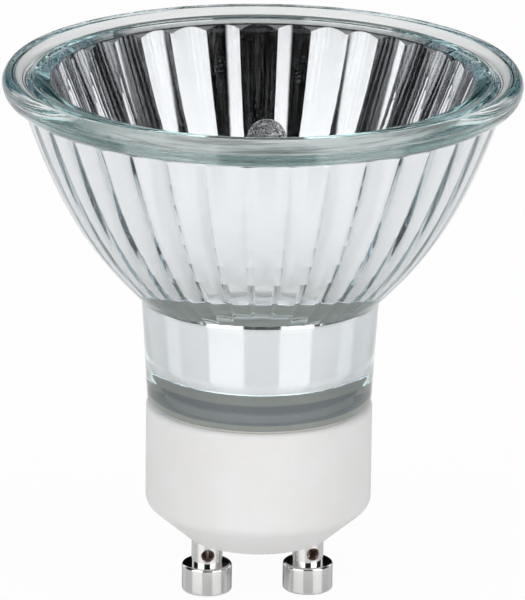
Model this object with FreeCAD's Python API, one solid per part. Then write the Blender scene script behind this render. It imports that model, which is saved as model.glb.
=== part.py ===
import FreeCAD, Part
import math
import os

# GU10 mains spotlight bulb with a fluted glass reflector, in millimetres.
# +Z runs from the pin tips to the front glass. The origin is on the axis, at the pin tips.
# The two contact pins lie along X.

# Contact pins
pin_spacing = 10.0
pin_reach = 6.1
pin_head_radius = 2.475
pin_head_height = 2.8
pin_head_round = 0.25
pin_neck_radius = 1.53
pin_lip_radius = 2.1
pin_lip_height = 0.4
pin_fit = 0.01
pin_bore_floor = 1.6
window_radius = 0.62
window_height = 3.95
window_turn_left = 0.0
window_turn_right = 16.0

# Ceramic base
base_wall = 3.5
base_height = 13.65
base_foot_margin = 2.2
base_foot_height = 3.4
base_foot_round = 0.35
base_corner_round = 1.3
base_shoulder_round = 0.55
base_floor = 3.2
base_hollow_height = 5.2
base_hollow_margin = 0.5

# Cement
cement_joint = 0.25
cement_recess = 0.5
cement_above_joint = 2.2

# Reflector glass
neck_inset = 0.1
neck_length = 10.5
neck_edge_round = 0.3
neck_flare = 0.6
bowl_top_radius = 22.8
bowl_depth = 18.4
bowl_flare_bottom = 1.08
bowl_flare_top = 0.366
bowl_wall_bottom = 3.2
bowl_wall_top = 2.6
crease_round = 0.7
bead_overhang = 0.8
bead_radius = 1.57
bead_rise = 3.14
bead_crease_round = 0.5
rim_edge_offset = 0.9
rim_edge_round = 0.2
cap_hole_radius = 5.9
cap_hole_height = 0.84
bore_round = 5.3
bore_bottom_radius = 7.45
bore_top_radius = 8.0
bore_shoulder_flare = 0.165

# Flutes pressed into the inside of the bowl
flute_count = 36
flute_rows = 8
flute_turn = 2.2
flute_swell = 0.0065
flute_overrun = 0.3

# Front opening and cover glass
seat_inset = 1.1
seat_width = 2.0
seat_drop = 1.19
lip_below_cover = 0.1
cover_thickness = 2.0
cover_gap = 0.25
cover_bevel = 0.2

# Quartz capsule
pinch_width = 9.0
pinch_thickness = 2.8
pinch_height = 10.0
pinch_below_neck = 3.5
pinch_round = 0.6
capsule_radius = 4.8
capsule_wall = 0.9
capsule_body_height = 10.55
capsule_rise = 3.0
tip_radius = 1.9
tip_height = 1.9
tip_offset = 0.45
tip_round = 0.8

# Foils, leads and fuse
lead_spacing = 4.6
lead_radius = 0.3
lead_bend = 1.0
lead_weld = 1.2
lead_weld_flat = 0.06
lead_stub = 0.4
lead_elbow_height = 2.1
lead_elbow_drop = 1.2
foil_width = 1.6
foil_thickness = 0.08
foil_length = 5.5
foil_inset = 1.5
fuse_radius = 0.12
fuse_end_height = 0.9

# Filament and its hook
coil_radius = 0.5
coil_leg = 7.0
hook_radius = 0.15
hook_play = 0.02
hook_anchor = 0.8

# Radii that follow from the sizes above, from the pins out
lead_x = lead_spacing / 2
pin_x = pin_spacing / 2
base_foot_radius = pin_x + base_foot_margin
base_hollow_radius = pin_x + pin_lip_radius + base_hollow_margin
base_radius = base_hollow_radius + base_wall
neck_radius = base_radius - neck_inset
cement_joint_radius = neck_radius - cement_recess
bowl_bottom_radius = neck_radius + neck_flare
bore_round_middle = bore_bottom_radius - bore_round
bead_ring_radius = bowl_top_radius + bead_overhang
rim_edge_radius = bead_ring_radius + rim_edge_offset
seat_radius = bead_ring_radius - seat_inset
aperture_radius = seat_radius - seat_width

# Levels, from the pin tips up
base_bottom = pin_reach
base_floor_top = base_bottom + base_floor
base_top = base_bottom + base_height
neck_bottom = base_top + cement_joint
bowl_bottom = neck_bottom + neck_length
bowl_top = bowl_bottom + bowl_depth
bead_level = bowl_top + bead_rise
rim_edge_level = bead_level + math.sqrt(bead_radius ** 2 - rim_edge_offset ** 2)
seat_level = bead_level - seat_drop
lip_level = seat_level + cover_thickness - lip_below_cover
hole_top = neck_bottom + cap_hole_height
bore_round_level = hole_top + math.sqrt(bore_round ** 2 - (cap_hole_radius - bore_round_middle) ** 2)
cement_bottom = base_floor_top + base_hollow_height
cement_top = neck_bottom + cement_above_joint
pinch_bottom = neck_bottom - pinch_below_neck
pinch_top = pinch_bottom + pinch_height
capsule_bottom = pinch_top + capsule_rise
capsule_top = capsule_bottom + capsule_body_height
foil_bottom = pinch_bottom + foil_inset + lead_weld
foil_top = foil_bottom + foil_length

# Directions and helpers
UP = FreeCAD.Vector(0, 0, 1)
RIGHT = FreeCAD.Vector(1, 0, 0)
FRONT = FreeCAD.Vector(0, -1, 0)
AXIS = FreeCAD.Vector(0, 0, 0)
TINY = 1e-6


def on_section(radius, height):
    return FreeCAD.Vector(radius, 0, height)


def line(start, end):
    return Part.LineSegment(start, end).toShape()


def polyline(points):
    return [line(a, b) for a, b in zip(points, points[1:])]


def arc_about(centre, radius, start_degrees, end_degrees):
    def at(degrees):
        turn = math.radians(degrees)
        return centre + on_section(radius * math.cos(turn), radius * math.sin(turn))

    middle = (start_degrees + end_degrees) / 2
    return Part.Arc(at(start_degrees), at(middle), at(end_degrees)).toShape()


def turned(edges):
    face = Part.Face(Part.Wire(Part.__sortEdges__(edges)))
    return face.revolve(AXIS, UP, 360)


def rod(radius, bottom, top, x=0.0, y=0.0):
    return Part.makeCylinder(radius, top - bottom, FreeCAD.Vector(x, y, bottom), UP)


def ring_edges(shape, low, high, least_radius):
    def wanted(edge):
        if not isinstance(edge.Curve, Part.Circle):
            return False
        height = edge.Curve.Center.z
        return low - TINY <= height <= high + TINY and edge.Curve.Radius >= least_radius - TINY

    return [edge for edge in shape.Edges if wanted(edge)]


def bent_wire(points, radius, bend):
    edges = []
    reached = points[0]
    for before, corner, after in zip(points, points[1:], points[2:]):
        arrive = (corner - before).normalize()
        leave = (after - corner).normalize()
        half_turn = arrive.getAngle(leave) / 2
        setback = bend * math.tan(half_turn)
        start = corner - arrive * setback
        end = corner + leave * setback
        inward = (leave - arrive).normalize()
        middle = corner + inward * (bend / math.cos(half_turn) - bend)
        if reached.distanceToPoint(start) > TINY:
            edges.append(line(reached, start))
        edges.append(Part.Arc(start, middle, end).toShape())
        reached = end
    if reached.distanceToPoint(points[-1]) > TINY:
        edges.append(line(reached, points[-1]))
    heading = (points[1] - points[0]).normalize()
    section = Part.Wire(Part.makeCircle(radius, points[0], heading))
    return Part.Wire(edges).makePipeShell([section], True, True)


# Bowl profile: one curve from the neck to the rim, set by its end radii and its flare at each end
bowl_third = bowl_depth / 3
bowl_curve = Part.BezierCurve()
bowl_curve.setPoles([
    on_section(bowl_bottom_radius, bowl_bottom),
    on_section(bowl_bottom_radius + bowl_flare_bottom * bowl_third, bowl_bottom + bowl_third),
    on_section(bowl_top_radius - bowl_flare_top * bowl_third, bowl_top - bowl_third),
    on_section(bowl_top_radius, bowl_top),
])
rim_root = on_section(bowl_top_radius + bowl_flare_top * bead_rise, bead_level)


def wall_point(share):
    outside = bowl_curve.value(share)
    along = bowl_curve.tangent(share)[0]
    inward = on_section(-along.z, along.x).normalize()
    wall = bowl_wall_bottom + (bowl_wall_top - bowl_wall_bottom) * share
    return outside + inward * wall


def shoulder_radius_at(height):
    return bore_top_radius + bore_shoulder_flare * (height - bowl_bottom)


def bore_solid():
    top = wall_point(0).z
    below = neck_bottom - flute_overrun
    start = on_section(0, below)
    hole = [start, on_section(cap_hole_radius, below), on_section(cap_hole_radius, hole_top)]
    sides = [
        on_section(bore_bottom_radius, bore_round_level),
        on_section(bore_top_radius, bowl_bottom),
        on_section(shoulder_radius_at(top), top),
        on_section(0, top),
        start,
    ]
    middle = on_section(bore_round_middle, bore_round_level)
    start_turn = math.acos((cap_hole_radius - bore_round_middle) / bore_round)
    corner = arc_about(middle, bore_round, -math.degrees(start_turn), 0)
    return turned(polyline(hole) + [corner] + polyline(sides))


def flute_section(radius, height):
    pitch = 360 / flute_count
    crest = radius * (math.cos(math.radians(pitch / 2)) - flute_swell)

    def at(reach, degrees):
        turn = math.radians(degrees)
        return FreeCAD.Vector(reach * math.cos(turn), reach * math.sin(turn), height)

    edges = []
    for index in range(flute_count):
        start = flute_turn + index * pitch
        points = at(radius, start), at(crest, start + pitch / 2), at(radius, start + pitch)
        edges.append(Part.Arc(*points).toShape())
    return Part.Wire(edges)


def flute_solid():
    stations = [wall_point(row / flute_rows) for row in range(flute_rows + 1)]
    low, high = stations[0], stations[-1]
    spare = low.x - shoulder_radius_at(low.z) + flute_overrun
    start = low.z - spare / (bowl_flare_bottom - bore_shoulder_flare)
    end = seat_level + flute_overrun
    stations.insert(0, on_section(low.x - bowl_flare_bottom * (low.z - start), start))
    stations.append(on_section(high.x + bowl_flare_top * (end - high.z), end))
    sections = [flute_section(station.x, station.z) for station in stations]
    flutes = Part.makeLoft(sections, True, True)
    return flutes.common(rod(aperture_radius, start - flute_overrun, end + flute_overrun))


def rim_slope_solid():
    slope = (rim_edge_level - lip_level) / (rim_edge_radius - seat_radius)
    top = rim_edge_level + slope * bead_radius
    return turned(polyline([
        on_section(0, lip_level),
        on_section(seat_radius, lip_level),
        on_section(rim_edge_radius + bead_radius, top),
        on_section(0, top),
        on_section(0, lip_level),
    ]))


def make_reflector():
    profile = polyline([
        on_section(bowl_top_radius, bowl_top),
        rim_root,
        on_section(0, bead_level),
        on_section(0, neck_bottom),
        on_section(neck_radius, neck_bottom),
        on_section(bowl_bottom_radius, bowl_bottom),
    ])
    body = turned(profile + [bowl_curve.toShape()])
    bead = Part.makeTorus(bead_ring_radius, bead_radius, FreeCAD.Vector(0, 0, bead_level), UP)
    body = body.fuse(bead).removeSplitter()
    body = body.makeFillet(crease_round, ring_edges(body, bowl_bottom, bowl_bottom, neck_radius))
    body = body.makeFillet(neck_edge_round, ring_edges(body, neck_bottom, neck_bottom, neck_radius))
    lip = ring_edges(body, bowl_top + TINY * 2, bead_level - TINY * 2, bowl_top_radius)
    body = body.makeFillet(bead_crease_round, lip)
    body = body.cut(rim_slope_solid())
    rim_edge = ring_edges(body, lip_level + TINY * 2, rim_edge_level + bead_radius, seat_radius)
    body = body.makeFillet(rim_edge_round, rim_edge)
    body = body.cut(rod(seat_radius, seat_level, lip_level + bead_radius))
    body = body.cut(bore_solid())
    return body.cut(flute_solid())


def make_cover_glass():
    disc = rod(seat_radius - cover_gap, seat_level, seat_level + cover_thickness)
    rims = ring_edges(disc, seat_level, seat_level + cover_thickness, seat_radius - cover_gap)
    return disc.makeChamfer(cover_bevel, rims)


def make_cover_adhesive():
    low = seat_level + cover_bevel
    high = seat_level + cover_thickness - cover_bevel
    return rod(seat_radius, low, high).cut(rod(seat_radius - cover_gap, low, high))


def make_ceramic_base():
    foot_top = base_bottom + base_foot_height
    base = turned(polyline([
        on_section(0, base_bottom),
        on_section(base_foot_radius, base_bottom),
        on_section(base_radius, foot_top),
        on_section(base_radius, base_top),
        on_section(0, base_top),
        on_section(0, base_bottom),
    ]))
    base = base.makeFillet(base_foot_round, ring_edges(base, base_bottom, base_bottom, base_foot_radius))
    base = base.makeFillet(base_corner_round, ring_edges(base, foot_top, foot_top, base_radius))
    base = base.makeFillet(base_shoulder_round, ring_edges(base, base_top, base_top, base_radius))
    base = base.cut(rod(base_hollow_radius, base_floor_top, base_top))
    for side in (-1, 1):
        base = base.cut(rod(pin_neck_radius + pin_fit, base_bottom, base_floor_top, side * pin_x))
    return base


def make_contact_pin(side, window_turn):
    lip_top = base_floor_top + pin_lip_height
    head = rod(pin_head_radius, 0, pin_head_height)
    head = head.makeFillet(pin_head_round, ring_edges(head, 0, pin_head_height, pin_head_radius))
    pin = head.fuse(rod(pin_neck_radius, 0, lip_top)).fuse(rod(pin_lip_radius, base_floor_top, lip_top))
    pin = pin.removeSplitter()
    pin = pin.cut(rod(lead_radius, pin_bore_floor, lip_top))
    window_axis = FreeCAD.Rotation(UP, window_turn).multVec(FRONT)
    middle = FreeCAD.Vector(0, 0, window_height)
    window = Part.makeCylinder(window_radius, pin_head_radius, middle, window_axis)
    return pin.cut(window).translated(RIGHT * (side * pin_x))


def foil_shape(side):
    corner = FreeCAD.Vector(side * lead_x - foil_width / 2, lead_radius - lead_weld_flat, foil_bottom)
    return Part.makeBox(foil_width, foil_thickness, foil_length, corner)


def make_inner_lead(side):
    return rod(lead_radius, foil_top - lead_weld, coil_bottom, side * lead_x).cut(foil_shape(side))


def lead_route(side, top, bottom):
    elbow = base_floor_top + lead_elbow_height + lead_elbow_drop
    return [
        on_section(side * lead_x, top),
        on_section(side * lead_x, elbow),
        on_section(side * pin_x, elbow - lead_elbow_drop),
        on_section(side * pin_x, bottom),
    ]


fuse_top = cement_bottom - lead_stub
fuse_bottom = base_floor_top + fuse_end_height
coil_bottom = capsule_bottom + lead_weld


def make_outer_lead_left():
    route = lead_route(-1, foil_bottom + lead_weld, pin_bore_floor)
    return bent_wire(route, lead_radius, lead_bend).cut(foil_shape(-1))


def make_outer_lead_right():
    return rod(lead_radius, fuse_top, foil_bottom + lead_weld, lead_x).cut(foil_shape(1))


def make_fuse_wire():
    return bent_wire(lead_route(1, fuse_top, fuse_bottom), fuse_radius, lead_bend)


def make_pin_lead_right():
    return rod(lead_radius, pin_bore_floor, fuse_bottom, pin_x)


def make_filament():
    bend_top = coil_bottom + coil_leg + lead_x
    route = [
        on_section(-lead_x, coil_bottom),
        on_section(-lead_x, bend_top),
        on_section(lead_x, bend_top),
        on_section(lead_x, coil_bottom),
    ]
    return bent_wire(route, coil_radius, lead_x)


def make_filament_hook():
    level = coil_bottom + coil_leg + lead_x
    loop_radius = coil_radius + hook_play + hook_radius
    loop = Part.makeTorus(loop_radius, hook_radius, FreeCAD.Vector(0, 0, level), RIGHT)
    stem_top = capsule_top + capsule_radius - capsule_wall + hook_anchor
    return loop.fuse(rod(hook_radius, level + loop_radius, stem_top)).removeSplitter()


def bulb_shape(radius, low, high):
    return turned(
        [arc_about(on_section(0, low), radius, -90, 0)]
        + [line(on_section(radius, low), on_section(radius, high))]
        + [arc_about(on_section(0, high), radius, 0, 90)]
        + [line(on_section(0, high + radius), on_section(0, low - radius))]
    )


tip_neck = capsule_top + capsule_radius + tip_height - tip_radius


def tip_shape():
    root = on_section(0, capsule_top)
    tip = turned(
        polyline([root, on_section(tip_radius, capsule_top), on_section(tip_radius, tip_neck)])
        + [arc_about(on_section(0, tip_neck), tip_radius, 0, 90)]
        + [line(on_section(0, tip_neck + tip_radius), root)]
    )
    return tip.translated(RIGHT * tip_offset)


def tip_root_edges(glass):
    def at_root(edge):
        box = edge.BoundBox
        return box.ZMin > capsule_top + tip_radius and box.ZMax < tip_neck - TINY

    return [edge for edge in glass.Edges if at_root(edge)]


def pinch_shape():
    corner = FreeCAD.Vector(-pinch_width / 2, -pinch_thickness / 2, pinch_bottom)
    pinch = Part.makeBox(pinch_width, pinch_thickness, pinch_height, corner)
    upright = [edge for edge in pinch.Edges if abs(edge.tangentAt(edge.FirstParameter).z) > 1 - TINY]
    return pinch.makeFillet(pinch_round, upright)


def make_capsule_glass(inside):
    glass = bulb_shape(capsule_radius, capsule_bottom, capsule_top).fuse(tip_shape())
    glass = glass.makeFillet(tip_round, tip_root_edges(glass))
    glass = glass.fuse(pinch_shape()).removeSplitter()
    hollow_bottom = capsule_bottom + capsule_rise - capsule_wall
    glass = glass.cut(bulb_shape(capsule_radius - capsule_wall, hollow_bottom, capsule_top))
    for piece in inside:
        glass = glass.cut(piece)
    return glass


def make_base_cement(inside):
    cement = rod(base_hollow_radius, cement_bottom, base_top)
    cement = cement.fuse(rod(cement_joint_radius, base_top, neck_bottom))
    plug = bore_solid().common(rod(base_radius, neck_bottom, cement_top))
    cement = cement.fuse(plug).removeSplitter()
    for piece in inside:
        cement = cement.cut(piece)
    return cement


parts = {
    "reflector": make_reflector(),
    "cover_glass": make_cover_glass(),
    "cover_adhesive": make_cover_adhesive(),
    "ceramic_base": make_ceramic_base(),
    "contact_pin_left": make_contact_pin(-1, window_turn_left),
    "contact_pin_right": make_contact_pin(1, window_turn_right),
    "seal_foil_left": foil_shape(-1),
    "seal_foil_right": foil_shape(1),
    "inner_lead_left": make_inner_lead(-1),
    "inner_lead_right": make_inner_lead(1),
    "outer_lead_left": make_outer_lead_left(),
    "outer_lead_right": make_outer_lead_right(),
    "fuse_wire": make_fuse_wire(),
    "pin_lead_right": make_pin_lead_right(),
    "filament": make_filament(),
    "filament_hook": make_filament_hook(),
}
sealed_names = ("seal_foil", "inner_lead", "outer_lead")
sealed_in = [parts[name + side] for name in sealed_names for side in ("_left", "_right")]
parts["capsule_glass"] = make_capsule_glass(sealed_in + [parts["filament_hook"]])
cemented_in = [pinch_shape(), parts["outer_lead_left"], parts["outer_lead_right"]]
parts["base_cement"] = make_base_cement(cemented_in)

os.makedirs("parts", exist_ok=True)
for name, shape in parts.items():
    solids = shape.Solids
    if len(solids) != 1 or not shape.isValid():
        raise ValueError(f"{name} is not one sound solid: {len(solids)} solids")
    solids[0].exportStep(f"parts/{name}.step")
    print(f"{name}: {solids[0].Volume:.2f} mm3")
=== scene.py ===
import math

import bmesh
import bpy
from bpy.props import FloatProperty, FloatVectorProperty, IntProperty, PointerProperty
from bpy.types import Operator, Panel, PropertyGroup
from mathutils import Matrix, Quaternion, Vector


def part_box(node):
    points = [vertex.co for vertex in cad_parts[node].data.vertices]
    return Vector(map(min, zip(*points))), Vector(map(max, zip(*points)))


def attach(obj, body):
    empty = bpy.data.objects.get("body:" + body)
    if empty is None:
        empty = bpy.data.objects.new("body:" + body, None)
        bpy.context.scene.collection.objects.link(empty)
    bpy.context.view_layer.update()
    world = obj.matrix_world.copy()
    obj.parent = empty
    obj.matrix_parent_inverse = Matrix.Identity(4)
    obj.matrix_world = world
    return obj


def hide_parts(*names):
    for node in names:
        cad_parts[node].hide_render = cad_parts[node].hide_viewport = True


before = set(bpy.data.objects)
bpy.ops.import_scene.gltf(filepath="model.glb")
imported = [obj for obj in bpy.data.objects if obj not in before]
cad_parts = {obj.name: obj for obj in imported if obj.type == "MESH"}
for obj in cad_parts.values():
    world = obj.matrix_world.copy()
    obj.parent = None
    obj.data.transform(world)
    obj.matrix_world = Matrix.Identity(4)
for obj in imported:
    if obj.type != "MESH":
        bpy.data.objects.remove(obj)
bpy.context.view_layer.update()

bl_info = {
    "name": "Spotlight bulb",
    "version": (1, 0, 0),
    "blender": (4, 5, 0),
    "location": "View3D > Sidebar > Bulb",
    "description": "Models a mains reflector bulb with two pins over its packed frame",
    "category": "Add Mesh",
}

MM = 0.001
CLOSE = 1e-7
AXIS = (0.0, 0.0, 1.0)
ORIGIN = (0.0, 0.0, 0.0)
GLASS_IOR, GLASS_DENSITY = 1.5, 16.0
QUARTZ_IOR, QUARTZ_DENSITY = 1.46, 20.0
REFLECTOR_LOW, REFLECTOR_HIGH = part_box("reflector")
COVER_LOW, COVER_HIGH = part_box("cover_glass")
CEMENT_LOW, CEMENT_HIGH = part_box("base_cement")
CAPSULE_LOW, CAPSULE_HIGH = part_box("capsule_glass")
FILAMENT_LOW, FILAMENT_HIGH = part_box("filament")


# Properties

def length(name, description, millimetres):
    return FloatProperty(
        name=name, description=description, default=millimetres * MM, unit="LENGTH", precision=5
    )


def share(name, description, default):
    return FloatProperty(name=name, description=description, default=default, precision=4)


def angle(name, description, degrees):
    return FloatProperty(name=name, description=description, default=math.radians(degrees), subtype="ANGLE")


def colour(name, description, red, green, blue):
    return FloatVectorProperty(
        name=name, description=description, default=(red, green, blue), subtype="COLOR", min=0.0, max=1.0
    )


class ReflectorSizes(PropertyGroup):
    """Sizes of the pressed glass reflector."""

    neck_bottom: length("Neck bottom", "Level of the neck's lower face", REFLECTOR_LOW.z / MM)
    neck_radius: length("Neck radius", "Outside radius at the bottom of the neck", 11.0)
    neck_length: length("Neck length", "From the neck's lower face to the bowl", 10.5)
    neck_flare: length("Neck flare", "How much wider the neck is where the bowl begins", 0.6)
    neck_round: length("Neck edge round", "Radius of the neck's lower edge", 0.3)
    bowl_radius: length("Bowl radius", "Outside radius at the top of the bowl", 22.8)
    bowl_depth: length("Bowl depth", "From the neck to the top of the bowl's curve", 18.4)
    wall_low: length("Wall, low", "Glass thickness at a groove where the bowl begins", 3.2)
    wall_high: length("Wall, high", "Glass thickness at a groove under the rim", 2.6)
    flare_low: share("Lower flare", "Outward slope at the bottom of the bowl", 1.08)
    flare_high: share("Upper flare", "Outward slope at the top of the bowl", 0.366)
    crease_round: length("Crease round", "Radius of the crease between neck and bowl", 0.7)
    bead_radius: length("Bead radius", "Radius of the rolled rim", 1.57)
    bead_rise: length("Bead rise", "From the top of the bowl's curve to the middle of the rim", 3.14)
    bead_crease: length("Bead crease", "Radius of the crease under the rim", 0.5)
    rim_edge: length("Rim edge", "Radius of the rim's upper edge", 24.5)
    rim_lip: length("Rim lip", "Level of the seat's upper edge", 52.75)
    rim_round: length("Rim round", "Radius of the rim's upper edge", 0.2)
    rim_step: length("Rim step", "Step where the mould's halves meet round the rim", 0.03)
    hole_radius: length("Hole radius", "Opening in the bottom of the neck", 5.9)
    hole_height: length("Hole height", "Straight part of that opening", 0.84)
    bore_low: length("Bore radius, low", "Inside radius at the bottom of the neck", 7.45)
    bore_round: length("Bore round", "Radius of the round between that and the opening", 5.3)
    bore_high: length("Bore radius, high", "Inside radius where the bowl begins", 8.0)
    shoulder: share("Shoulder", "Outward slope of the bore from there to the flutes", 0.165)
    seat_radius: length("Seat radius", "Recess that holds the cover glass", 22.5)
    seat_level: length("Seat level", "Level of the ledge under the cover glass", COVER_LOW.z / MM)
    aperture: length("Aperture", "Inside radius of the ledge", 20.5)
    film: length("Film thickness", "Thickness of the mirror film", 0.03)


class FluteSizes(PropertyGroup):
    """The facets pressed into the inside of the bowl."""

    count: IntProperty(name="Flutes", description="Number of flutes round the bowl", default=36)
    rows: IntProperty(name="Rows", description="Number of facets along a flute", default=8)
    columns: IntProperty(name="Columns", description="Faces across a flute", default=12)
    turn: angle("Turn", "Turn of the first groove from the line through the pins", 2.2)
    swell: share("Swell", "How far a flute bulges, as a share of its radius", 0.0065)


class FrontSizes(PropertyGroup):
    """The cover glass and its adhesive."""

    radius: length("Cover radius", "Radius of the cover glass", COVER_HIGH.x / MM)
    bottom: length("Cover bottom", "Level of the cover glass's lower face", COVER_LOW.z / MM)
    top: length("Cover top", "Level of the cover glass's upper face", COVER_HIGH.z / MM)
    edge: length("Cover edge", "Width of the ground edge", 0.2)
    clearance: length("Clearance", "Air left between the cover glass and its ledge", 0.02)
    thin_part: share("Thin part", "Share of the adhesive's height that is thin and clear", 0.32)
    milky_reach: share("Milky reach", "Share of the radius, to left and right, where it is milky", 0.75)


class CapsuleSizes(PropertyGroup):
    """The quartz capsule and its filament."""

    radius: length("Radius", "Outside radius of the capsule", 4.8)
    wall: length("Wall", "Thickness of the quartz", 0.9)
    low: length("Low centre", "Centre of the lower round end", 29.5)
    high: length("High centre", "Centre of the upper round end", 40.05)
    floor: length("Cavity floor", "Centre of the cavity's lower round end", 31.6)
    tip_radius: length("Tip radius", "Radius of the sealed tip", 1.9)
    tip_top: length("Tip top", "Top of the sealed tip", CAPSULE_HIGH.z / MM)
    tip_offset: length("Tip offset", "How far the tip stands off the axis", 0.45)
    tip_round: length("Tip round", "Radius of the crease round the tip", 0.8)
    pinch_width: length("Pinch width", "Width of the flattened seal", 9.0)
    pinch_depth: length("Pinch depth", "Thickness of the flattened seal", 2.8)
    pinch_low: length("Pinch bottom", "Bottom of the flattened seal", CAPSULE_LOW.z / MM)
    pinch_high: length("Pinch top", "Top of the flattened seal", 26.5)
    pinch_round: length("Pinch round", "Radius of the seal's upright edges", 0.6)
    coil_radius: length("Coil radius", "Outside radius of the coiled filament", 0.5)
    coil_wire: length("Coil wire", "Radius of the filament's wire", 0.085)
    coil_pitch: length("Coil pitch", "Distance from turn to turn", 0.3)


class BaseSizes(PropertyGroup):
    """The ceramic base, its cement and its contact pins."""

    wall: length("Wall", "Wall of the base round its hollow", 3.5)
    lap: length("Lap", "How far the cement runs into what it wets", 0.02)
    window: length("Window level", "Middle of the windows in the pins", 3.95)
    left_turn: angle("Left window", "Turn of the left pin's window", 0.0)
    right_turn: angle("Right window", "Turn of the right pin's window", 16.0)


class StudioSettings(PropertyGroup):
    """Camera, floor and light."""

    azimuth: angle("Azimuth", "Direction of the camera round the bulb", -4.1)
    elevation: angle("Elevation", "Height of the camera above the horizon", 17.713)
    roll: angle("Roll", "Turn of the camera about its own line of sight", 0.658)
    distance: length("Distance", "From the camera to the point that it looks at", 590.65)
    aim: length("Aim", "Level of the point that the camera looks at", 29.93)
    lens: FloatProperty(name="Lens", description="Focal length", default=363.04, unit="CAMERA")
    shift: share("Shift", "Sideways shift of the frame", 0.0036)
    boxes: share("Soft boxes", "Brightness of the two soft boxes in front", 2.5)
    sides: share("Side lights", "Brightness of the two low lights behind", 1.1)
    overhead: share("Overhead", "Brightness of the light above", 3.6)
    floor: colour("Floor", "Colour of the floor", 0.95, 0.95, 0.95)


class FinishColours(PropertyGroup):
    """Colours of the finishes."""

    glass: colour("Glass tint", "What the pressed glass lets through", 0.4, 0.77, 0.785)
    quartz: colour("Quartz tint", "What the quartz lets through", 0.96, 0.97, 0.97)
    adhesive: colour("Adhesive", "Milky adhesive round the cover glass", 0.86, 0.93, 0.93)
    mirror: colour("Mirror film", "Aluminium film inside the bowl", 0.9, 0.895, 0.915)
    ceramic: colour("Ceramic", "Pressed ceramic of the base", 0.9, 0.9, 0.9)
    cement: colour("Cement", "Cement that holds the neck", 0.98, 0.97, 0.88)
    nickel: colour("Nickel", "Plating of the contact pins", 0.9, 0.895, 0.89)
    residue: colour("Weld residue", "Brown trace in the pins' windows", 0.3, 0.16, 0.08)
    tungsten: colour("Tungsten", "Filament and its hook", 0.35, 0.34, 0.33)
    lead: colour("Lead wire", "Wires to the pins", 0.56, 0.54, 0.5)


# Node trees

class Signal:
    """One output socket that takes part in arithmetic."""

    def __init__(self, socket):
        self.socket = socket

    def combine(self, operation, *terms):
        sockets = dict(enumerate(terms))
        return Nodes(self.socket.id_data).add("ShaderNodeMath", {"operation": operation}, sockets)

    def __add__(self, other):
        return self.combine("ADD", self, other)

    def __radd__(self, other):
        return self.combine("ADD", other, self)

    def __sub__(self, other):
        return self.combine("SUBTRACT", self, other)

    def __rsub__(self, other):
        return self.combine("SUBTRACT", other, self)

    def __mul__(self, other):
        return self.combine("MULTIPLY", self, other)

    def __rmul__(self, other):
        return self.combine("MULTIPLY", other, self)

    def __truediv__(self, other):
        return self.combine("DIVIDE", self, other)

    def __pow__(self, other):
        return self.combine("POWER", self, other)

    def __abs__(self):
        return self.combine("ABSOLUTE", self)


class Nodes:
    """A node tree that is built one node at a time."""

    def __init__(self, tree):
        self.tree = tree

    def add(self, kind, settings=None, sockets=None, output=0):
        """Add a node, set it up, then set or link its sockets. The signal of one output comes back."""
        node = self.tree.nodes.new(kind)
        for name, value in (settings or {}).items():
            if name == "stops":
                self.set_stops(node.color_ramp, value)
            else:
                setattr(node, name, value)
        for name, value in (sockets or {}).items():
            socket = node.inputs[name]
            if isinstance(value, Signal):
                self.tree.links.new(value.socket, socket)
            else:
                socket.default_value = value
        return Signal(node.outputs[output]) if node.outputs else node

    @staticmethod
    def set_stops(ramp, stops):
        while len(ramp.elements) < len(stops):
            ramp.elements.new(1.0)
        for element, (place, tone) in zip(ramp.elements, stops):
            element.position = place
            element.color = (*tone, 1.0)

    def vector(self, operation, *terms, output=0):
        return self.add("ShaderNodeVectorMath", {"operation": operation}, dict(enumerate(terms)), output)

    def step(self, signal, edge, soft):
        """Rises smoothly from 0 to 1 as the signal passes the edge."""
        ends = {"Value": signal, "From Min": edge - soft, "From Max": edge + soft}
        return self.add("ShaderNodeMapRange", {"interpolation_type": "SMOOTHSTEP"}, ends)

    def blend(self, factor, first, second):
        """Mix of two colours."""
        sockets = {0: factor, 6: first, 7: second}
        return self.add("ShaderNodeMix", {"data_type": "RGBA"}, sockets, 2)

    def place(self, scale=(1.0, 1.0, 1.0), centre=ORIGIN):
        """Object coordinates in millimetres from a centre, stretched by a scale."""
        here = self.add("ShaderNodeTexCoord", output="Object")
        factor = [part / MM for part in scale]
        shift = [-part * size for part, size in zip(centre, factor)]
        return self.add("ShaderNodeMapping", {}, {"Vector": here, "Location": shift, "Scale": factor})

    def noise(self, place, scale, detail=2.0, roughness=0.5):
        sockets = {"Vector": place, "Scale": scale, "Detail": detail, "Roughness": roughness}
        return self.add("ShaderNodeTexNoise", {}, sockets)

    def bump(self, height, depth, normal=None):
        """A bump as deep as given, in millimetres."""
        sockets = {"Height": height, "Distance": depth * MM}
        if normal:
            sockets["Normal"] = normal
        return self.add("ShaderNodeBump", {}, sockets)


def finish(name, recipe):
    """A material whose nodes the recipe draws: it returns the shader's sockets, and what fills the solid."""
    material = bpy.data.materials.new(name)
    material.use_nodes = True
    material.node_tree.nodes.clear()
    nodes = Nodes(material.node_tree)
    surface, filling = recipe(nodes)
    sockets = {"Surface": nodes.add("ShaderNodeBsdfPrincipled", {}, surface)}
    if filling:
        sockets["Volume"] = nodes.add("ShaderNodeVolumeAbsorption", {}, filling)
    nodes.add("ShaderNodeOutputMaterial", {}, sockets)
    return material


def opaque(tone):
    return (*tone, 1.0)


# Modelling steps

def start(name):
    """A new object at the origin, in edit mode with one vertex there."""
    bpy.ops.object.select_all(action="DESELECT")
    bpy.ops.mesh.primitive_plane_add(size=MM)
    piece = bpy.context.object
    piece.name = name
    piece.data.name = name
    bpy.ops.object.mode_set(mode="EDIT")
    bpy.ops.mesh.select_mode(type="VERT")
    bpy.ops.mesh.select_all(action="SELECT")
    bpy.ops.mesh.merge(type="CENTER")
    return piece


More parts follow.
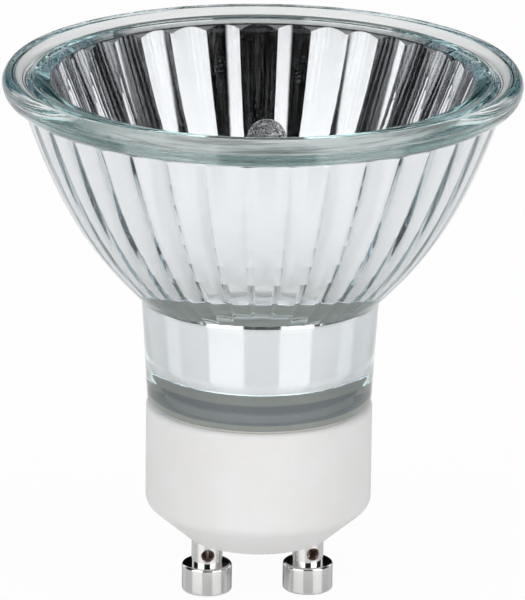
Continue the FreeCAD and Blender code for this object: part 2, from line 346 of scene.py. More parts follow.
def draw(name, outline):
    """A wire through the outline's points, each a radius and a level, extruded from point to point."""
    piece = start(name)
    bpy.ops.transform.translate(value=(outline[0][0], 0, outline[0][1]))
    for before, after in zip(outline, outline[1:]):
        move = (after[0] - before[0], 0, after[1] - before[1])
        bpy.ops.mesh.extrude_region_move(TRANSFORM_OT_translate={"value": move})
    return piece


def spin(steps, turn=math.tau, copies=False):
    bpy.ops.mesh.select_all(action="SELECT")
    bpy.ops.mesh.spin(steps=steps, dupli=copies, angle=turn, center=ORIGIN, axis=AXIS)


def close():
    """Merge what meets, turn the faces outwards and leave edit mode with a smooth surface."""
    bpy.ops.mesh.select_all(action="SELECT")
    bpy.ops.mesh.remove_doubles(threshold=CLOSE)
    bpy.ops.mesh.normals_make_consistent(inside=False)
    bpy.ops.mesh.faces_shade_smooth()
    bpy.ops.object.mode_set(mode="OBJECT")


def select(piece, kind, wanted):
    """Select the vertices, edges or faces that pass the test."""
    bpy.ops.mesh.select_mode(type=kind)
    bpy.ops.mesh.select_all(action="DESELECT")
    mesh = bmesh.from_edit_mesh(piece.data)
    for element in {"VERT": mesh.verts, "EDGE": mesh.edges, "FACE": mesh.faces}[kind]:
        if wanted(element):
            element.select_set(True)
    mesh.select_flush_mode()
    bmesh.update_edit_mesh(piece.data)


def ring_of(vertex):
    """Radius and level of a vertex."""
    return math.hypot(vertex.co.x, vertex.co.y), vertex.co.z


def same(first, second):
    return math.dist(first, second) < 20 * CLOSE


def on_ring(edge, rings):
    first, second = (ring_of(vertex) for vertex in edge.verts)
    return same(first, second) and any(same(first, ring) for ring in rings)


def sharpen(piece, wanted):
    select(piece, "EDGE", wanted)
    bpy.ops.mesh.mark_sharp()
    bpy.ops.mesh.select_mode(type="VERT")


def apply_modifier(piece, kind, **settings):
    bpy.ops.object.select_all(action="DESELECT")
    piece.select_set(True)
    bpy.context.view_layer.objects.active = piece
    modifier = piece.modifiers.new(kind.title(), kind)
    for name, value in settings.items():
        setattr(modifier, name, value)
    bpy.ops.object.modifier_apply(modifier=modifier.name)


def cut_or_join(piece, tool, operation):
    """Boolean with a tool that is then deleted."""
    apply_modifier(piece, "BOOLEAN", object=tool, operation=operation, solver="EXACT")
    bpy.data.objects.remove(tool)


def dress(node, material):
    """Give a CAD node its finished material."""
    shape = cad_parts[node]
    shape.data.materials.clear()
    shape.data.materials.append(material)


def hand_over(piece, material, slot, *nodes):
    """Give a finished piece its material, its ride and the nodes that it stands for. The slot is not used."""
    piece.data.materials.clear()
    piece.data.materials.append(material)
    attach(piece, "root")
    if nodes:
        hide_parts(*nodes)


# Outlines in the plane of the axis

def arc(centre, radius, first, last, steps):
    """Points round a circle from the first to the last angle, in degrees."""
    turns = [math.radians(first + (last - first) * step / steps) for step in range(steps + 1)]
    return [(centre[0] + radius * math.cos(turn), centre[1] + radius * math.sin(turn)) for turn in turns]


def rounded(before, corner, after, radius, steps):
    """Points of a round that takes a corner's place."""
    arrive = (Vector(corner) - Vector(before)).normalized()
    leave = (Vector(after) - Vector(corner)).normalized()
    side = Vector((arrive.y, -arrive.x))
    turn = math.degrees(arrive.angle_signed(leave))
    first = Vector(corner) - arrive * radius * math.tan(math.radians(abs(turn)) / 2)
    if turn < 0:
        side = -side
    centre = first + side * radius
    start_turn = heading(centre, first)
    return arc(centre, radius, start_turn, start_turn - turn, steps)


def heading(start_point, end_point):
    return math.degrees(math.atan2(end_point[1] - start_point[1], end_point[0] - start_point[0]))


def bowl_poles(sizes):
    third = sizes.bowl_depth / 3
    low = sizes.neck_bottom + sizes.neck_length
    high = low + sizes.bowl_depth
    foot = sizes.neck_radius + sizes.neck_flare
    return [
        Vector((foot, low)),
        Vector((foot + sizes.flare_low * third, low + third)),
        Vector((sizes.bowl_radius - sizes.flare_high * third, high - third)),
        Vector((sizes.bowl_radius, high)),
    ]


def bowl_point(poles, part):
    """A point of the bowl's outside, and the direction of the curve there."""
    rest = 1 - part
    shares = (rest**3, 3 * rest**2 * part, 3 * rest * part**2, part**3)
    point = sum((pole * portion for pole, portion in zip(poles, shares)), Vector((0, 0)))
    slopes = (rest**2, 2 * rest * part, part**2)
    runs = [after - before for before, after in zip(poles, poles[1:])]
    along = sum((run * portion for run, portion in zip(runs, slopes)), Vector((0, 0)))
    return point, along.normalized()


def groove_point(sizes, part):
    """A point of a groove between flutes, inside the bowl's outside by the wall."""
    point, along = bowl_point(bowl_poles(sizes), part)
    wall = sizes.wall_low + (sizes.wall_high - sizes.wall_low) * part
    return tuple(point + Vector((-along.y, along.x)) * wall)


def flute_reach(flutes, off):
    """How far a flute's face is from the axis at an angle off its middle, as a share of its grooves'."""
    half = math.pi / flutes.count
    bend = (math.sin(half) ** 2 + flutes.swell**2) / (2 * flutes.swell)
    centre = math.cos(half) - flutes.swell + bend
    return centre * math.cos(off) - math.sqrt(bend**2 - (centre * math.sin(off)) ** 2)


def bore_corner(sizes):
    """Middle of the round at the bottom of the bore, and the angle where it begins."""
    radius = sizes.bore_low - sizes.bore_round
    turn = math.acos((sizes.hole_radius - radius) / sizes.bore_round)
    level = sizes.neck_bottom + sizes.hole_height + sizes.bore_round * math.sin(turn)
    return (radius, level), -math.degrees(turn)


def flute_foot(sizes, reach, stations):
    """Where a flute's face leaves the bore."""
    radius, level = stations[0]
    slope = sizes.shoulder
    bore_at_zero = sizes.bore_high - slope * (sizes.neck_bottom + sizes.neck_length)
    height = (bore_at_zero - reach * (radius - sizes.flare_low * level)) / (reach * sizes.flare_low - slope)
    return bore_at_zero + slope * height, height


def flute_head(sizes, reach, stations):
    """Where a flute's face runs out into the aperture."""
    radius, level = stations[-1]
    return sizes.aperture, level + (sizes.aperture / reach - radius) / sizes.flare_high


def inside_outline(sizes, flutes):
    """From the top of the bore up to the heads of the flutes."""
    stations = [groove_point(sizes, row / flutes.rows) for row in range(flutes.rows + 1)]
    foot = flute_foot(sizes, 1.0, stations)
    head = flute_head(sizes, 1.0, stations)
    return [(sizes.bore_high, sizes.neck_bottom + sizes.neck_length), foot, *stations, head]


def rim_outline(sizes):
    """From the seat's upper edge over the rolled rim to the bowl."""
    top, along = bowl_point(bowl_poles(sizes), 1.0)
    ring = (REFLECTOR_HIGH.x - sizes.bead_radius, top.y + sizes.bead_rise)
    turn = math.acos((sizes.rim_edge - ring[0]) / sizes.bead_radius)
    lip = (sizes.seat_radius, sizes.rim_lip)
    edge = (sizes.rim_edge, ring[1] + sizes.bead_radius * math.sin(turn))
    outward = Vector((along.y, -along.x))
    start_point = top + outward * sizes.bead_crease - Vector(ring)
    reach = sizes.bead_radius + sizes.bead_crease
    half = start_point.dot(along)
    run = -half - math.sqrt(half**2 - start_point.length_squared + reach**2)
    crease = tuple(top + outward * sizes.bead_crease + along * run)
    under = heading(ring, crease)
    side = heading((0, 0), -outward)
    bead = arc(ring, sizes.bead_radius, math.degrees(turn), 0, 12)
    bead += arc(ring, sizes.bead_radius - sizes.rim_step, 0, under, 28)
    soft = rounded(lip, edge, bead[2], sizes.rim_round, 5)
    bead = [point for point in bead[1:] if point[0] > soft[-1][0] or point[1] < soft[-1][1]]
    return [lip] + soft + bead + arc(crease, sizes.bead_crease, under + 180, side % 360, 6)


def outside_outline(sizes):
    """From the top of the bowl down to the neck's lower face."""
    poles = bowl_poles(sizes)
    foot, along = bowl_point(poles, 0.0)
    base = Vector((sizes.neck_radius, sizes.neck_bottom))
    neck = (foot - base).normalized()
    turn = neck.angle(along)
    setback = sizes.crease_round * math.tan(turn / 2)
    inner = Vector((neck.y, -neck.x))
    centre = foot - neck * setback + inner * sizes.crease_round
    first = heading((0, 0), -Vector((along.y, -along.x))) % 360
    crease = arc(centre, sizes.crease_round, first, heading((0, 0), -inner) % 360, 6)
    begin = setback / (3 * (poles[1] - poles[0]).length)
    parts = [1 - step / 28 * (1 - begin) for step in range(28)]
    bowl = [tuple(bowl_point(poles, part)[0]) for part in parts]
    edge = (sizes.neck_radius - sizes.neck_round, sizes.neck_bottom + sizes.neck_round)
    return bowl + crease + arc(edge, sizes.neck_round, 0, -90, 5)


# Finishes

def glass_recipe(tint, ripple):
    """Clear glass that colours what passes through it, with the faint drawn lines of a pressed surface."""

    def recipe(nodes):
        waves = nodes.noise(nodes.place(), 0.2, 2.0)
        fine = nodes.noise(nodes.place((0.08, 0.08, 3.0)), 1.3, 4.0, 0.6)
        smear = nodes.noise(nodes.place(), 0.2, 3.0)
        surface = {
            "Base Color": (1.0, 1.0, 1.0, 1.0),
            "Roughness": 0.002 + 0.01 * smear**3.0,
            "IOR": GLASS_IOR,
            "Transmission Weight": 1.0,
            "Normal": nodes.bump(waves + 0.2 * fine, ripple),
        }
        return surface, {"Color": opaque(tint), "Density": GLASS_DENSITY}

    return recipe


def adhesive_recipe(tone, level, reach):
    """Milky adhesive with streaks round the rim, thin and clear below a level and at the sides."""

    def recipe(nodes):
        place = nodes.place()
        streaks = nodes.noise(nodes.place((0.1, 0.1, 4.0)), 1.0, 3.0, 0.6)
        cloud = nodes.noise(place, 0.4, 3.0)
        height = nodes.vector("DOT_PRODUCT", place, AXIS, output="Value")
        across = nodes.vector("DOT_PRODUCT", place, (1.0, 0.0, 0.0), output="Value")
        side = nodes.step(abs(across), reach / MM, 3.0)
        filled = nodes.step(height + 0.3 * cloud, level / MM + 0.15, 0.06) * (1 - side)
        dull = [part * 0.4 for part in tone]
        surface = {
            "Base Color": nodes.blend(nodes.step(streaks, 0.55, 0.1), opaque(tone), opaque(dull)),
            "Roughness": 0.35 + 0.2 * cloud,
            "Normal": nodes.bump(streaks, 0.01),
            "Alpha": filled,
        }
        return surface, None

    return recipe


def quartz_recipe(tint, tip_level):
    """Clear quartz, crinkled where the tip was drawn off."""

    def recipe(nodes):
        place = nodes.place()
        waves = nodes.noise(place, 0.45, 3.0, 0.55)
        crinkle = nodes.noise(place, 1.3, 1.0)
        height = nodes.vector("DOT_PRODUCT", place, AXIS, output="Value")
        drawn = nodes.step(height, tip_level / MM, 1.0)
        surface = {
            "Base Color": (1.0, 1.0, 1.0, 1.0),
            "Roughness": 0.005 + 0.01 * waves,
            "IOR": QUARTZ_IOR,
            "Transmission Weight": 1.0,
            "Normal": nodes.bump(0.2 * waves + drawn * crinkle, 0.15),
        }
        return surface, {"Color": opaque(tint), "Density": QUARTZ_DENSITY}

    return recipe


def mirror_recipe(tint):
    """Bright film, a little uneven where the glass under it is."""

    def recipe(nodes):
        cloud = nodes.noise(nodes.place(), 0.35, 4.0, 0.6)
        swell = nodes.noise(nodes.place(), 0.8, 1.0)
        dull = [part * 0.94 for part in tint]
        surface = {
            "Base Color": nodes.blend(cloud, opaque(tint), opaque(dull)),
            "Metallic": 1.0,
            "Roughness": 0.002 + 0.008 * cloud,
            "Normal": nodes.bump(swell, 0.0001),
        }
        return surface, None

    return recipe


def ceramic_recipe(tone):
    """Pressed ceramic: faint warm clouds, fine grain and a few pits."""

    def recipe(nodes):
        place = nodes.place()
        cloud = nodes.noise(place, 0.22, 4.0, 0.6)
        grain = nodes.noise(place, 6.0, 3.0, 0.65)
        warm = [part * shift for part, shift in zip(tone, (0.985, 0.975, 0.96))]
        surface = {
            "Base Color": nodes.blend(nodes.step(cloud, 0.5, 0.2), opaque(tone), opaque(warm)),
            "Roughness": 0.48 + 0.2 * grain,
            "Normal": nodes.bump(grain + 2.0 * cloud, 0.02),
        }
        return surface, None

    return recipe


def cement_recipe(tone, joint):
    """Grainy cement in lighter and darker patches, greyer in the plug inside the joint."""

    def recipe(nodes):
        place = nodes.place()
        patch = nodes.noise(place, 0.5, 4.0, 0.6)
        sand = nodes.noise(place, 9.0, 3.0, 0.7)
        flat = nodes.vector("MULTIPLY", place, (1.0, 1.0, 0.0))
        outer = nodes.step(nodes.vector("LENGTH", flat, output="Value"), joint / MM, 0.3)
        dark = [part * 0.92 for part in tone]
        grey = [part * shift for part, shift in zip(tone, (0.58, 0.61, 0.68))]
        sandy = nodes.blend(patch, opaque(dark), opaque(tone))
        surface = {
            "Base Color": nodes.blend(outer, opaque(grey), sandy),
            "Roughness": 0.8 + 0.15 * sand,
            "Normal": nodes.bump(sand, 0.04),
        }
        return surface, None

    return recipe


def turned_metal_recipe(tone, shade, roughness, pitch):
    """Metal with fine marks round its axis and a cloudy shine."""

    def recipe(nodes):
        marks = nodes.noise(nodes.place((0.25, 0.25, 1.0)), pitch, 3.0, 0.6)
        cloud = nodes.noise(nodes.place(), 0.6, 3.0)
        dark = [part * shade for part in tone]
        surface = {
            "Base Color": nodes.blend(cloud, opaque(tone), opaque(dark)),
            "Metallic": 1.0,
            "Roughness": roughness + 0.6 * roughness * marks,
            "Normal": nodes.bump(marks, 0.004),
        }
        return surface, None

    return recipe


def pin_recipe(tone, residue, window, turn):
    """Bright plating with a brown trace of the weld in the pin's window."""

    def recipe(nodes):
        place = nodes.place(centre=window)
        marks = nodes.noise(nodes.place((0.25, 0.25, 1.0)), 4.0, 3.0, 0.6)
        cloud = nodes.noise(place, 0.6, 3.0)
        spatter = nodes.noise(place, 1.6, 4.0, 0.6)
        aside = nodes.vector("DOT_PRODUCT", place, (math.cos(turn), math.sin(turn), 0.0), output="Value")
        above = nodes.vector("DOT_PRODUCT", place, AXIS, output="Value")
        reach = (aside**2.0 + above**2.0) ** 0.5
        burnt = (1 - nodes.step(reach, 0.66, 0.05)) * nodes.step(spatter, 0.45, 0.08)
        dark = [part * 0.9 for part in tone]
        plate = nodes.blend(cloud, opaque(tone), opaque(dark))
        surface = {
            "Base Color": nodes.blend(burnt, plate, opaque(residue)),
            "Metallic": 1 - 0.7 * burnt,
            "Roughness": 0.09 + 0.06 * marks + 0.3 * burnt,
            "Normal": nodes.bump(marks + 3.0 * spatter * burnt, 0.003),
        }
        return surface, None

    return recipe


# Operators

class BULB_OT_reflector(Operator):
    """Press the fluted glass reflector and lay the mirror film inside it"""

    bl_idname = "bulb.reflector"
    bl_label = "Reflector and film"

    def execute(self, context):
        sizes, flutes = context.scene.bulb_reflector, context.scene.bulb_flutes
        colours = context.scene.bulb_colours
        inside = inside_outline(sizes, flutes)
        low = sizes.neck_bottom
        hole_top = low + sizes.hole_height
        middle, first = bore_corner(sizes)
        corner = arc(middle, sizes.bore_round, first, 0, 12)
        seat = [
            (sizes.aperture, sizes.seat_level),
            (sizes.seat_radius, sizes.seat_level),
        ]
        hole = [(sizes.hole_radius, low), (sizes.hole_radius, hole_top)]
        rim = rim_outline(sizes)
        outline = hole + corner[1:] + inside + seat + rim + outside_outline(sizes)
        ends = inside[:2] + inside[-1:]
        creases = hole + ends + seat + rim[:1]
        glass = self.pressed("reflector_glass", outline + outline[:1], creases, inside)
        clear = finish("reflector_glass", glass_recipe(colours.glass, ripple=0.006))
        hand_over(glass, clear, "reflector_glass", "reflector")

        film = self.pressed("mirror_film", corner + inside, ends, inside)
        apply_modifier(film, "SOLIDIFY", thickness=sizes.film, offset=0.0)
        hand_over(film, finish("mirror_film", mirror_recipe(colours.mirror)), "mirror_film")
        return {"FINISHED"}

    def pressed(self, name, outline, creases, inside):
        """Spin one flute's width of the outline, press the flute into it and repeat it round the axis."""
        flutes = bpy.context.scene.bulb_flutes
        pitch = math.tau / flutes.count
        piece = draw(name, outline)
        bpy.ops.mesh.select_all(action="SELECT")
        bpy.ops.mesh.remove_doubles(threshold=CLOSE)
        spin(flutes.columns, pitch)
        rows = inside[2:-1]
        sharpen(piece, lambda edge: on_ring(edge, creases))
        sharpen(piece, lambda edge: on_ring(edge, rows) and self.by_groove(edge, pitch))
        for column in range(1, flutes.columns):
            self.press(piece, column * pitch / flutes.columns, inside)
        spin(flutes.count - 1, math.tau - pitch, copies=True)
        close()
        piece.rotation_euler.z = flutes.turn
        bpy.ops.object.transform_apply(location=False, rotation=True, scale=False)
        return piece

    def by_groove(self, edge, pitch):
        """Whether an edge is so near a groove that the step from facet to facet still shows there."""
        turns = [abs(math.atan2(vertex.co.y, vertex.co.x)) for vertex in edge.verts]
        return min(*turns, *[pitch - turn for turn in turns]) < 0.15 * pitch

    def press(self, piece, turn, inside):
        """Move one column of the wall in to the flute's face."""
        sizes, flutes = bpy.context.scene.bulb_reflector, bpy.context.scene.bulb_flutes
        foot, stations, head = inside[1], inside[2:-1], inside[-1]
        reach = flute_reach(flutes, turn - math.pi / flutes.count)

        def choose(rings):
            def wanted(vertex):
                here = abs(math.atan2(vertex.co.y, vertex.co.x))
                return abs(here - turn) < 1e-4 and any(same(ring_of(vertex), ring) for ring in rings)

            select(piece, "VERT", wanted)

        choose(stations)
        bpy.ops.transform.resize(value=(reach, reach, 1.0), center_override=ORIGIN)
        for ring, place in ((foot, flute_foot), (head, flute_head)):
            radius, level = place(sizes, reach, stations)
            choose([ring])
            bpy.ops.transform.resize(value=(radius / ring[0], radius / ring[0], 1.0), center_override=ORIGIN)
            bpy.ops.transform.translate(value=(0, 0, level - ring[1]))


class BULB_OT_cover(Operator):
    """Grind the cover glass and lay its ring of adhesive"""

    bl_idname = "bulb.cover"
    bl_label = "Cover glass and adhesive"

    def execute(self, context):
        sizes, reflector = context.scene.bulb_front, context.scene.bulb_reflector
        colours = context.scene.bulb_colours
        bottom = sizes.bottom + sizes.clearance
        edge = sizes.edge
        inner = sizes.radius - 3 * edge
        cover = draw("cover_disc", [
            (0, bottom),
            (inner, bottom),
            (sizes.radius - edge, bottom),
            (sizes.radius, bottom + edge),
            (sizes.radius, sizes.top - edge),
            (sizes.radius - edge, sizes.top),
            (inner, sizes.top),
            (0, sizes.top),
        ])
        spin(240)
        rings = [(sizes.radius - edge, bottom), (sizes.radius, bottom + edge)]
        rings += [(sizes.radius - edge, sizes.top), (sizes.radius, sizes.top - edge)]
        sharpen(cover, lambda part: on_ring(part, rings))
        close()
        clear = finish("cover_glass", glass_recipe(colours.glass, ripple=0.003))
        hand_over(cover, clear, "cover_glass", "cover_glass")

        low, high = bottom + edge, sizes.top - edge
        near, far = sizes.radius - sizes.clearance, reflector.seat_radius + sizes.clearance
        bond = draw("cover_bond", [(near, low), (far, low), (far, high), (near, high), (near, low)])
        spin(240)
        sharpen(bond, lambda part: on_ring(part, [(near, low), (far, low), (far, high), (near, high)]))
        close()
        thin = low + sizes.thin_part * (high - low)
        milky = finish("adhesive", adhesive_recipe(colours.adhesive, thin, sizes.milky_reach * near))
        hand_over(bond, milky, "clear_adhesive", "cover_adhesive")
        return {"FINISHED"}


class BULB_OT_capsule(Operator):
    """Blow the quartz capsule with its sealed tip and flattened seal"""

    bl_idname = "bulb.capsule"
    bl_label = "Quartz capsule"

    def execute(self, context):
        sizes = context.scene.bulb_capsule
        dome = sizes.tip_top - sizes.tip_radius
        gap = dome - sizes.high
        reach = sizes.radius + sizes.tip_round
        near = sizes.tip_radius + sizes.tip_round
        up = (reach**2 - near**2 + gap**2) / (2 * gap)
        crease = (math.sqrt(reach**2 - up**2), sizes.high + up)
        lean = heading((0, sizes.high), crease)
        meet = heading((0, dome), crease)
        outline = arc((0, sizes.low), sizes.radius, -90, 0, 16)
        outline += arc((0, sizes.high), sizes.radius, 0, lean, 14)
        crown = outline[-2][1]
        outline += arc(crease, sizes.tip_round, lean + 180, meet + 180, 6)[1:]
        outline += arc((0, dome), sizes.tip_radius, meet, 90, 10)[1:]
        glass = draw("capsule_quartz", outline)
        spin(72)
        bpy.ops.mesh.select_all(action="SELECT")
        bpy.ops.mesh.remove_doubles(threshold=CLOSE)
        moves = 6
        for part in range(1, moves + 1):
            level = crown + (crease[1] - crown) * part / moves
            select(glass, "VERT", lambda vertex: vertex.co.z > level)
            bpy.ops.transform.translate(value=(sizes.tip_offset / moves, 0, 0))
        close()

        pinch = self.seal(sizes)
        cut_or_join(glass, pinch, "UNION")
        inner = sizes.radius - sizes.wall
        cavity = draw("capsule_cavity", [
            *arc((0, sizes.floor), inner, -90, 0, 14),
            *arc((0, sizes.high), inner, 0, 90, 14),
        ])
        spin(72)
        close()
        cut_or_join(glass, cavity, "DIFFERENCE")
        bpy.ops.object.shade_smooth_by_angle(angle=math.radians(30))
        tint = context.scene.bulb_colours.quartz
        drawn = sizes.high + 0.7 * sizes.radius
        hand_over(glass, finish("quartz", quartz_recipe(tint, drawn)), "quartz", "capsule_glass")
        return {"FINISHED"}

    def seal(self, sizes):
        """The flattened end that seals the leads in."""
        bpy.ops.object.select_all(action="DESELECT")
        bpy.ops.mesh.primitive_cube_add(size=1.0)
        pinch = bpy.context.object
        bpy.ops.object.mode_set(mode="EDIT")
        tall = sizes.pinch_high - sizes.pinch_low
        bpy.ops.transform.resize(value=(sizes.pinch_width, sizes.pinch_depth, tall), center_override=ORIGIN)
        bpy.ops.transform.translate(value=(0, 0, sizes.pinch_low + tall / 2))
        select(pinch, "EDGE", lambda edge: abs(edge.verts[0].co.z - edge.verts[1].co.z) > MM)
        bpy.ops.mesh.bevel(offset=sizes.pinch_round, segments=5, affect="EDGES")
        bpy.ops.object.mode_set(mode="OBJECT")
        return pinch


class BULB_OT_filament(Operator):
    """Wind the filament and bend it over its hook"""

    bl_idname = "bulb.filament"
    bl_label = "Filament"

    def execute(self, context):
        sizes = context.scene.bulb_capsule
        colours = context.scene.bulb_colours
        low, high = FILAMENT_LOW, FILAMENT_HIGH
        bend = (high.x - low.x) / 2 - sizes.coil_radius
        top = high.z - sizes.coil_radius
        leg = top - bend - low.z
        run = 2 * leg + math.pi * bend
        turns = round(run / sizes.coil_pitch)

        bpy.ops.object.select_all(action="DESELECT")
        bpy.ops.mesh.primitive_circle_add(vertices=8, radius=sizes.coil_wire)
        coil = bpy.context.object
        coil.name = "filament_coil"
        coil.data.name = "filament_coil"
        bpy.ops.object.mode_set(mode="EDIT")
        bpy.ops.transform.rotate(value=math.pi / 2, orient_axis="Y", center_override=ORIGIN)
        bpy.ops.transform.translate(value=(0, sizes.coil_radius - sizes.coil_wire, 0))
        bpy.ops.object.mode_set(mode="OBJECT")
        steps = 12 * turns
        apply_modifier(
            coil, "SCREW", axis="X", screw_offset=run, angle=turns * math.tau, steps=steps, render_steps=steps,
            use_merge_vertices=True, use_smooth_shade=True, use_normal_calculate=True,
        )
        route = self.route(bend, leg, low.z)
        apply_modifier(coil, "CURVE", object=route, deform_axis="POS_X")
        bpy.data.objects.remove(route)
        metal = finish("tungsten", turned_metal_recipe(colours.tungsten, 0.7, 0.35, 8.0))
        hand_over(coil, metal, "tungsten", "filament")
        dress("filament_hook", metal)
        return {"FINISHED"}

    def route(self, bend, leg, level):
        """The line of the bent filament, as a curve from foot to foot."""
        over = [(x, level + leg + up) for x, up in arc((0, 0), bend, 180, 0, 24)]
        points = [(-bend, level), *over, (bend, level)]
        bpy.ops.curve.primitive_bezier_curve_add()
        route = bpy.context.object
        route.data.splines.clear()
        line = route.data.splines.new("POLY")
        line.points.add(len(points) - 1)
        for point, (x, z) in zip(line.points, points):
            point.co = (x, 0, z, 1)
        return route


class BULB_OT_base(Operator):
    """Fill the joint with cement and finish the ceramic base"""

    bl_idname = "bulb.base"
    bl_label = "Base and cement"

    def execute(self, context):
        sizes, colours = context.scene.bulb_reflector, context.scene.bulb_colours
        low, high = CEMENT_LOW.z, CEMENT_HIGH.z
        joint = CEMENT_HIGH.x
        base, top = context.scene.bulb_base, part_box("ceramic_base")[1]
        lap = base.lap
        hollow, ledge = top.x - base.wall, top.z
        bottom = sizes.neck_bottom + sizes.hole_height
        middle, first = bore_corner(sizes)
        last = -math.degrees(math.asin((middle[1] - high) / (sizes.bore_round - lap)))
        corner = arc(middle, sizes.bore_round - lap, first, last, 6)
        cement = draw("base_cement_fill", [
            (0, low),
            (hollow - lap, low),
            (hollow - lap, ledge + lap),
            (joint, ledge + lap),
            (joint, sizes.neck_bottom + lap),
            (sizes.hole_radius + lap, sizes.neck_bottom + lap),
            (sizes.hole_radius + lap, bottom - lap),
            *corner,
            (0, high),
        ])
        spin(96)
        close()
        bpy.ops.object.shade_smooth_by_angle(angle=math.radians(30))
        grainy = finish("cement", cement_recipe(colours.cement, sizes.bore_low))
        hand_over(cement, grainy, "cement", "base_cement")
        dress("ceramic_base", finish("ceramic", ceramic_recipe(colours.ceramic)))
        return {"FINISHED"}


class BULB_OT_contacts(Operator):
    """Finish the contact pins, leads, foils and fuse"""

    bl_idname = "bulb.contacts"
    bl_label = "Pins and leads"

    def execute(self, context):
        base, colours = context.scene.bulb_base, context.scene.bulb_colours
        wire = finish("lead_wire", turned_metal_recipe(colours.lead, 0.8, 0.3, 6.0))
        foil = finish("foil", turned_metal_recipe(colours.tungsten, 0.8, 0.25, 6.0))
        fuse = finish("fuse_metal", turned_metal_recipe(colours.lead, 0.7, 0.4, 8.0))
        for node, turn in (("contact_pin_left", base.left_turn), ("contact_pin_right", base.right_turn)):
            low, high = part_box(node)
            window = ((low.x + high.x) / 2, (low.y + high.y) / 2, base.window)
            dress(node, finish(node, pin_recipe(colours.nickel, colours.residue, window, turn)))
        for side in ("left", "right"):
            dress(f"inner_lead_{side}", wire)
            dress(f"outer_lead_{side}", wire)
            dress(f"seal_foil_{side}", foil)
        dress("pin_lead_right", wire)
        dress("fuse_wire", fuse)
        return {"FINISHED"}


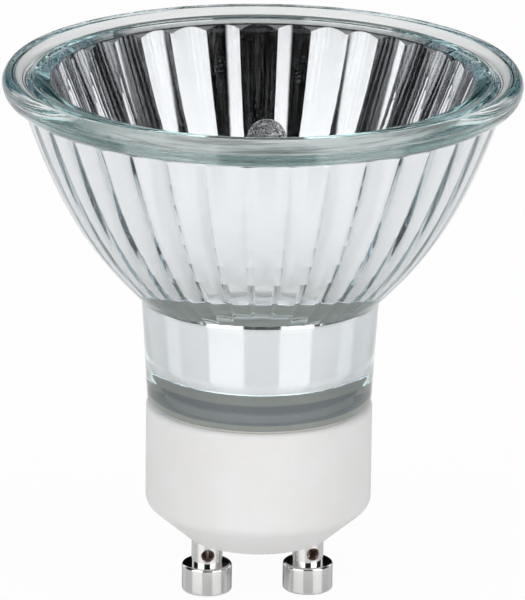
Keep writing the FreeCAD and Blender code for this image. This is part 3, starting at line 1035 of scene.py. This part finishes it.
class BULB_OT_stage(Operator):
    """Set the floor, the studio light and the camera"""

    bl_idname = "bulb.stage"
    bl_label = "Stage"

    def execute(self, context):
        scene, studio = context.scene, context.scene.bulb_studio
        self.lay_floor(studio)
        self.light(scene, studio)
        self.aim(scene, studio)
        scene.view_settings.view_transform = "Standard"
        scene.cycles.max_bounces = 32
        scene.cycles.glossy_bounces = 20
        scene.cycles.transmission_bounces = 24
        return {"FINISHED"}

    def lay_floor(self, studio):
        bpy.ops.object.select_all(action="DESELECT")
        bpy.ops.mesh.primitive_circle_add(vertices=96, radius=3.0, fill_type="NGON")
        floor = bpy.context.object
        floor.name = "floor"
        material = bpy.data.materials.new("floor")
        material.use_nodes = True
        material.node_tree.nodes.clear()
        nodes = Nodes(material.node_tree)
        grain = nodes.noise(nodes.place(), 0.02, 2.0)
        matt = nodes.add("ShaderNodeBsdfPrincipled", {}, {
            "Base Color": opaque(studio.floor),
            "Roughness": 0.1 + 0.03 * grain,
        })
        white = nodes.add("ShaderNodeEmission", {}, {"Strength": 1.0})
        seen = nodes.add("ShaderNodeLightPath", output="Is Camera Ray")
        shown = nodes.add("ShaderNodeMixShader", {}, {0: 0.96 * seen, 1: matt, 2: white})
        nodes.add("ShaderNodeOutputMaterial", {}, {"Surface": shown})
        floor.data.materials.append(material)

    def light(self, scene, studio):
        """Two tall soft boxes in front, dark between them, two low lights behind and one above."""
        world = bpy.data.worlds.new("studio")
        world.use_nodes = True
        world.node_tree.nodes.clear()
        scene.world = world
        nodes = Nodes(world.node_tree)
        towards = nodes.add("ShaderNodeTexCoord", output="Generated")
        turn = studio.azimuth
        ahead = nodes.vector("DOT_PRODUCT", towards, (math.sin(turn), -math.cos(turn), 0), output="Value")
        aside = nodes.vector("DOT_PRODUCT", towards, (math.cos(turn), math.sin(turn), 0), output="Value")
        up = nodes.vector("DOT_PRODUCT", towards, AXIS, output="Value")
        round_it = ahead.combine("ARCTAN2", aside, ahead)
        raised = up.combine("ARCSINE", up)

        def band(signal, first, last, soft):
            soft = math.radians(soft)
            rising = nodes.step(signal, math.radians(first), soft)
            return rising * (1 - nodes.step(signal, math.radians(last), soft))

        left, right = band(round_it, -69, -20.5, 2), band(round_it, 26, 70, 2)
        boxes = (left + right) * band(raised, -5, 65, 3)
        sides = band(abs(round_it), 116, 142, 5) * band(raised, -10, 40, 6)
        overhead = nodes.step(raised, math.radians(65), math.radians(6))
        level = 0.002 + studio.boxes * boxes + studio.sides * sides + studio.overhead * overhead
        seen = nodes.add("ShaderNodeLightPath", output="Is Camera Ray")
        sky = nodes.add("ShaderNodeBackground", {}, {"Strength": seen + (1 - seen) * level})
        nodes.add("ShaderNodeOutputWorld", {}, {"Surface": sky})

    def aim(self, scene, studio):
        bpy.ops.object.select_all(action="DESELECT")
        bpy.ops.object.camera_add()
        camera = bpy.context.object
        flat = math.cos(studio.elevation)
        back = Vector((
            math.sin(studio.azimuth) * flat,
            -math.cos(studio.azimuth) * flat,
            math.sin(studio.elevation),
        ))
        camera.location = Vector((0, 0, studio.aim)) + back * studio.distance
        camera.rotation_mode = "QUATERNION"
        roll = Quaternion(AXIS, studio.roll)
        camera.rotation_quaternion = (-back).to_track_quat("-Z", "Y") @ roll
        camera.data.lens = studio.lens
        camera.data.shift_x = studio.shift
        camera.data.clip_start = 0.01
        camera.data.clip_end = 20.0
        scene.camera = camera


class BULB_PT_panel(Panel):
    """Pieces of the bulb in the sidebar"""

    bl_label = "Spotlight bulb"
    bl_idname = "BULB_PT_panel"
    bl_space_type = "VIEW_3D"
    bl_region_type = "UI"
    bl_category = "Bulb"

    def draw(self, context):
        for step in STEPS:
            self.layout.operator(step.bl_idname)


GROUPS = {
    "bulb_reflector": ReflectorSizes,
    "bulb_flutes": FluteSizes,
    "bulb_front": FrontSizes,
    "bulb_capsule": CapsuleSizes,
    "bulb_base": BaseSizes,
    "bulb_studio": StudioSettings,
    "bulb_colours": FinishColours,
}
STEPS = (
    BULB_OT_reflector,
    BULB_OT_cover,
    BULB_OT_capsule,
    BULB_OT_filament,
    BULB_OT_base,
    BULB_OT_contacts,
    BULB_OT_stage,
)


def register():
    for name, group in GROUPS.items():
        bpy.utils.register_class(group)
        setattr(bpy.types.Scene, name, PointerProperty(type=group))
    for step in STEPS:
        bpy.utils.register_class(step)
    bpy.utils.register_class(BULB_PT_panel)


def unregister():
    bpy.utils.unregister_class(BULB_PT_panel)
    for step in reversed(STEPS):
        bpy.utils.unregister_class(step)
    for name, group in GROUPS.items():
        delattr(bpy.types.Scene, name)
        bpy.utils.unregister_class(group)


def main():
    register()
    bpy.ops.bulb.reflector()
    bpy.ops.bulb.cover()
    bpy.ops.bulb.capsule()
    bpy.ops.bulb.filament()
    bpy.ops.bulb.base()
    bpy.ops.bulb.contacts()
    bpy.ops.bulb.stage()


if __name__ == "__main__":
    main()
